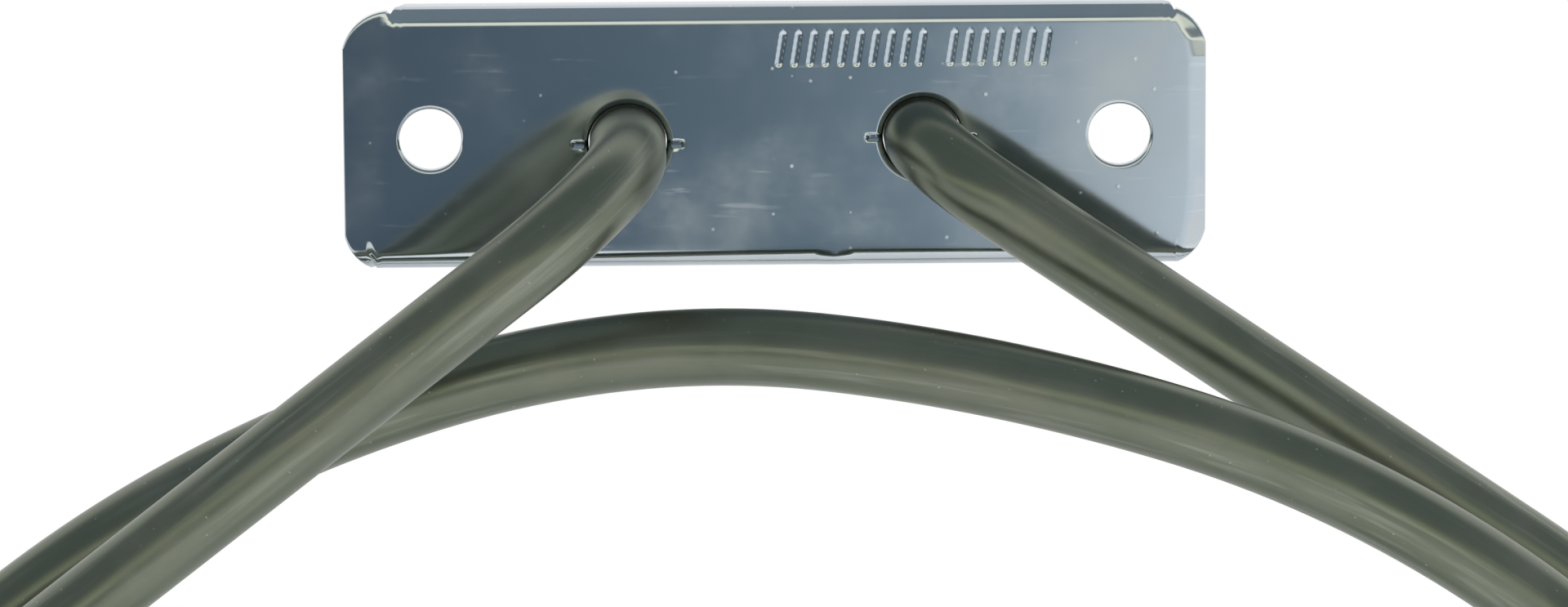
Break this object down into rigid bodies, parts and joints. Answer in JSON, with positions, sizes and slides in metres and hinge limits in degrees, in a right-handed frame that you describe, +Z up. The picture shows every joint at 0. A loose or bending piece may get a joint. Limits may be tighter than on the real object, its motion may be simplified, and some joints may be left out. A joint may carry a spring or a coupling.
{
  "type": "circular oven element",
  "caption": "Round tubular fan-oven heating element: a sheathed heater bent into a ring, with both legs held in a pressed mounting plate and push-on tabs behind it.",
  "frame": {"origin": "middle of the mounting plate's rear face, midway between the two fixing holes", "axes": "+Z up in use, with the ring hanging below the plate; +Y back through the oven's wall; +X to the right seen from inside the oven"},
  "size_m": [0.2225, 0.0636, 0.2459],
  "materials": {
    "plate_steel": "bright pressed sheet, smooth, with fine scratches",
    "sheath_steel": "dark olive annealed oxide, satin",
    "resistance_wire": "drawn wire",
    "magnesia": "compacted powder",
    "pin_steel": "nickel-plated rod",
    "seal": "matte silicone",
    "bush_ceramic": "unglazed steatite",
    "tab_steel": "nickel-plated strip"
  },
  "bodies": {
    "root": {"mounting_plate": "plate_steel", "heater_sheath": "sheath_steel", "resistance_coil": "resistance_wire", "magnesia_jacket": "magnesia", "magnesia_core": "magnesia", "left_terminal_pin": "pin_steel", "right_terminal_pin": "pin_steel", "left_seal": "seal", "right_seal": "seal", "left_bush": "bush_ceramic", "right_bush": "bush_ceramic", "left_tab": "tab_steel", "right_tab": "tab_steel"}
  },
  "joints": []
}
